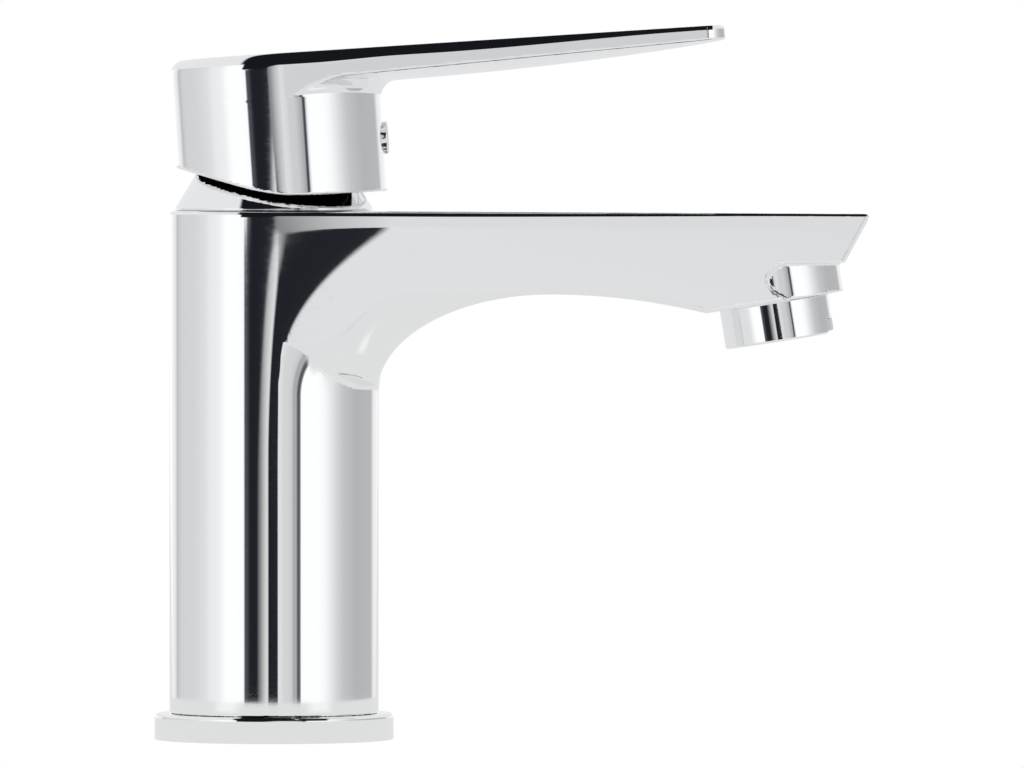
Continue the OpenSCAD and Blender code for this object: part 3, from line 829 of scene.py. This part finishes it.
screen_piece = bpy.data.objects.new("aerator_screens_woven", bpy.data.meshes.new("screens"))
scene.collection.objects.link(screen_piece)
weave = screen_piece.modifiers.new("weave", "NODES")
weave.node_group = woven_screens()
SCREEN = {"Radius": 7.72 * MM, "Pitch": 0.62 * MM, "Wire": 0.065 * MM, "Rim": 0.13 * MM,
          "First": 1.55 * MM, "Apart": 1.2 * MM, "Finish": steel}
for socket in weave.node_group.interface.items_tree:
    if socket.name in SCREEN:
        weave[socket.identifier] = SCREEN[socket.name]
made = screen_piece.evaluated_get(bpy.context.evaluated_depsgraph_get())
made = bpy.data.meshes.new_from_object(made)
screen_piece.modifiers.remove(weave)
turn = np.eye(4)
turn[:3, :3], turn[:3, 3] = OUTLET_TURN, OUTLET_FRAME[1] * MM
made.transform(Matrix(turn.tolist()))
screen_piece.data = made
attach(screen_piece, "faucet_body")
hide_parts("aerator_screens")


# ---- Studio ----
# A white sweep, seen by the camera only, and a small pale table that only the
# piece sees. The rest of the room it mirrors is given by direction.
def lit(shade):
    """Room brightness that a plated face shows as that shade, from 0 to 255."""
    return ((shade / 255 + 0.055) / 1.055) ** 2.4 / REFLECTS if shade > 10 else 0.0


def sheet_of(name, outline, level):
    """A level sheet of the studio, and its material's tree with the emission shader."""
    mesh = bpy.data.meshes.new(name)
    mesh.from_pydata([(x, y, level) for x, y in outline], [], [tuple(range(len(outline)))])
    made = bpy.data.materials.new(name)
    made.use_nodes = True
    made.node_tree.nodes.clear()
    glow = add(made.node_tree, "ShaderNodeEmission")
    add(made.node_tree, "ShaderNodeOutputMaterial", {"Surface": glow.outputs[0]})
    mesh.materials.append(made)
    sheet = bpy.data.objects.new(name, mesh)
    scene.collection.objects.link(sheet)
    return sheet, made.node_tree, glow


SWEEP, DISC_R = 30.0, 0.243
sweep, _, _ = sheet_of("sweep", [(-SWEEP, -SWEEP), (SWEEP, -SWEEP), (SWEEP, SWEEP),
                                 (-SWEEP, SWEEP)], -0.0005)
sweep.visible_glossy = False
sweep.visible_diffuse = False

# Painted light: the table's glow is painted lighter where the two lamps beside the camera would
# fall on it.
table, tree, glow = sheet_of("table", [(DISC_R * math.cos(a), DISC_R * math.sin(a))
                                       for a in np.linspace(0, 2 * math.pi, 97)[:-1]], -0.0003)
table.visible_camera = False
on_table = add(tree, "ShaderNodeTexCoord").outputs["Object"]
place = add(tree, "ShaderNodeSeparateXYZ", {0: on_table}).outputs
side = add(tree, "ShaderNodeMath", {0: place["X"], 1: add(
    tree, "ShaderNodeMath", {0: place["Y"], 1: -1.0}, operation="MULTIPLY").outputs[0]},
    operation="ARCTAN2")
side = add(tree, "ShaderNodeMath", {0: side.outputs[0]}, operation="ABSOLUTE")
off_lamp = add(tree, "ShaderNodeMath", {0: side.outputs[0], 1: math.radians(50)},
               operation="SUBTRACT")
off_lamp = add(tree, "ShaderNodeMath", {0: off_lamp.outputs[0]}, operation="ABSOLUTE")
painted_lamp_pool = add(tree, "ShaderNodeMapRange", {"Value": off_lamp.outputs[0], "From Min": 0.34,
                                        "From Max": 0.08}, interpolation_type="SMOOTHSTEP")
away = add(tree, "ShaderNodeVectorMath", {0: on_table}, operation="LENGTH")
away = add(tree, "ShaderNodeMapRange", {"Value": away.outputs["Value"], "From Min": 0.17,
                                        "From Max": 0.2}, interpolation_type="SMOOTHSTEP")
painted_lamp_pool = add(tree, "ShaderNodeMath", {0: painted_lamp_pool.outputs[0], 1: away.outputs[0]},
           operation="MULTIPLY")
# painted light: the glow is stronger where the lamp pools are painted
bright = add(tree, "ShaderNodeMix", {0: painted_lamp_pool.outputs[0], 2: lit(221), 3: lit(240)})
tree.links.new(bright.outputs[0], glow.inputs["Strength"])


# Shades round the room as (degrees, shade), 0 towards the camera and plus to
# the right.
ROOM = [(-180, 255), (-158, 254), (-150, 239), (-142, 231), (-137.5, 220), (-133.5, 186),
        (-129.5, 198), (-122, 208), (-100, 210), (-89, 216), (-81, 221), (-74, 232), (-62, 237),
        (-55, 251), (-50, 255), (50, 255), (59, 247), (67, 230), (75, 211), (83, 195), (91, 188),
        (99, 182), (105, 179), (135, 182), (139, 202), (143, 231), (151, 236), (160, 243),
        (171, 251), (180, 254)]
# In front of the piece, level with the camera and below: a dark board, a gap,
# the camera's own strip, a grey board. Then the same above the camera.
FRONT_LOW = [(-40, 255), (-32.6, 250), (-31.2, 84), (-28.5, 72), (-25.5, 36), (-18.2, 28),
             (-16.5, 85), (-13, 147), (-9.7, 191), (-6, 220), (-4.7, 32), (4.8, 38), (5.8, 224),
             (9.5, 219), (11, 212), (17.5, 208), (20.8, 199), (22.5, 166), (25.3, 172),
             (27, 95), (29, 85), (30, 140), (31.2, 254), (40, 255)]
FRONT_HIGH = [(-40, 255), (-29.6, 251), (-28, 130), (-25, 80), (-20, 44), (-9.9, 34), (-8.3, 90),
              (-4.8, 142), (0, 186), (4.9, 212), (6, 219), (9, 217), (11, 206), (19.7, 202),
              (23.5, 187), (27.8, 165), (28.8, 100), (29.8, 66), (31, 80), (32.6, 225),
              (35, 254), (40, 255)]

world = bpy.data.worlds.new("studio")
world.use_nodes = True
scene.world = world
room = world.node_tree
room.nodes.clear()
towards = add(room, "ShaderNodeSeparateXYZ",
              {0: add(room, "ShaderNodeTexCoord").outputs["Generated"]}).outputs


def calc(operation, *values, clamp=False):
    """One step of arithmetic in the room's tree."""
    return add(room, "ShaderNodeMath", dict(enumerate(values)), operation=operation,
               use_clamp=clamp).outputs[0]


def rise(value, start, end):
    """0 before start and 1 after end."""
    return add(room, "ShaderNodeMapRange", {"Value": value, "From Min": start, "From Max": end},
               interpolation_type="SMOOTHSTEP").outputs[0]


def blend_of(share, first, second):
    """first where share is 0, second where it is 1."""
    return add(room, "ShaderNodeMix", {0: share, 2: first, 3: second}).outputs[0]


# Both angles are those of a plate that would throw this direction back to the
# front, doubled: level, they are the ordinary bearing and height.
forward = calc("SUBTRACT", 1.0, towards["Y"])
bearing = calc("MULTIPLY", calc("ARCTAN2", towards["X"], forward), 360 / math.pi)
flat = calc("SQRT", calc("ADD", calc("POWER", calc("ABSOLUTE", towards["X"]), 2.0),
                         calc("POWER", forward, 2.0)))
height = calc("MULTIPLY", calc("ARCTAN2", towards["Z"], flat), 360 / math.pi)


def wall(shades):
    """The brightness along a wall from (degrees, shade) points."""
    span = shades[-1][0] - shades[0][0]
    along = calc("MULTIPLY_ADD", bearing, 1 / span, -shades[0][0] / span, clamp=True)
    curve = add(room, "ShaderNodeFloatCurve", {"Value": along})
    points = curve.mapping.curves[0].points
    for angle, shade in shades[1:-1]:
        points.new((angle - shades[0][0]) / span, lit(shade) * 0.5)
    points[0].location = (0, lit(shades[0][1]) * 0.5)
    points[-1].location = (1, lit(shades[-1][1]) * 0.5)
    for point in points:
        point.handle_type = "VECTOR"
    curve.mapping.update()
    return calc("MULTIPLY", curve.outputs[0], 2.0)


front = blend_of(rise(height, -0.13, -0.05), wall(FRONT_LOW), wall(FRONT_HIGH))
# the dark board on the left is wider towards its top
edge = calc("ADD", bearing, add(room, "ShaderNodeMapRange", {
    "Value": height, "From Min": -1.3, "From Max": -0.1, "To Min": 17.5, "To Max": 7.5}).outputs[0])
board = calc("MULTIPLY", rise(edge, 1.2, -1.2), rise(bearing, -25.0, -22.0))
front = blend_of(board, front, lit(34))
aside = calc("ABSOLUTE", bearing)
walls = blend_of(calc("GREATER_THAN", aside, 39.9), front, wall(ROOM))
# above the walls a dark ceiling with one tube, between two lit softboxes
dark = calc("MULTIPLY", rise(bearing, -42.0, -37.0), rise(bearing, 57.0, 52.0))
dark_low = calc("MULTIPLY", rise(bearing, -37.5, -34.5), rise(bearing, 57.0, 52.0))
ceiling = blend_of(blend_of(rise(height, 30.0, 50.0), dark_low, dark), lit(228), lit(24))
tube = calc("MULTIPLY", calc("COMPARE", bearing, 22.8, 2.0), calc("COMPARE", height, 62.0, 6.0))
ceiling = calc("MAXIMUM", ceiling, tube)
over = calc("MULTIPLY_ADD", rise(bearing, 4.0, -16.0), 20.0, height)
above = blend_of(dark_low, rise(height, 36.0, 40.0), rise(over, 20.5, 22.5))
shade = blend_of(rise(height, -8.0, -11.0), blend_of(above, walls, ceiling), lit(221))
seen = add(room, "ShaderNodeLightPath").outputs["Is Camera Ray"]
level = blend_of(seen, shade, 1.0)
tint = add(room, "ShaderNodeMix", {0: rise(shade, 0.0, 0.3), 6: (0.82, 0.95, 1.2, 1),
                                   7: (0.985, 0.995, 1.005, 1)}, data_type="RGBA")
tint = add(room, "ShaderNodeMix", {0: seen, 6: tint.outputs[2], 7: (1, 1, 1, 1)},
           data_type="RGBA")
light = add(room, "ShaderNodeBackground", {"Color": tint.outputs[2], "Strength": level})
add(room, "ShaderNodeOutputWorld", {"Surface": light.outputs[0]})
scene.view_settings.view_transform = "Standard"

# The camera stands well back, a little above the dome, with a long lens.
CAMERA_AT, CAMERA_TO, LENS = (0.0518, -2.6, 0.115), (0.0518, 0, 0.0773), 420
camera = bpy.data.objects.new("camera", bpy.data.cameras.new("camera"))
camera.data.lens = LENS
camera.data.sensor_width = 36
camera.data.clip_start = 0.05
camera.location = CAMERA_AT
drop = math.atan2(CAMERA_AT[2] - CAMERA_TO[2], CAMERA_TO[1] - CAMERA_AT[1])
camera.rotation_euler = (math.pi / 2 - drop, 0, 0)
scene.collection.objects.link(camera)
scene.camera = camera
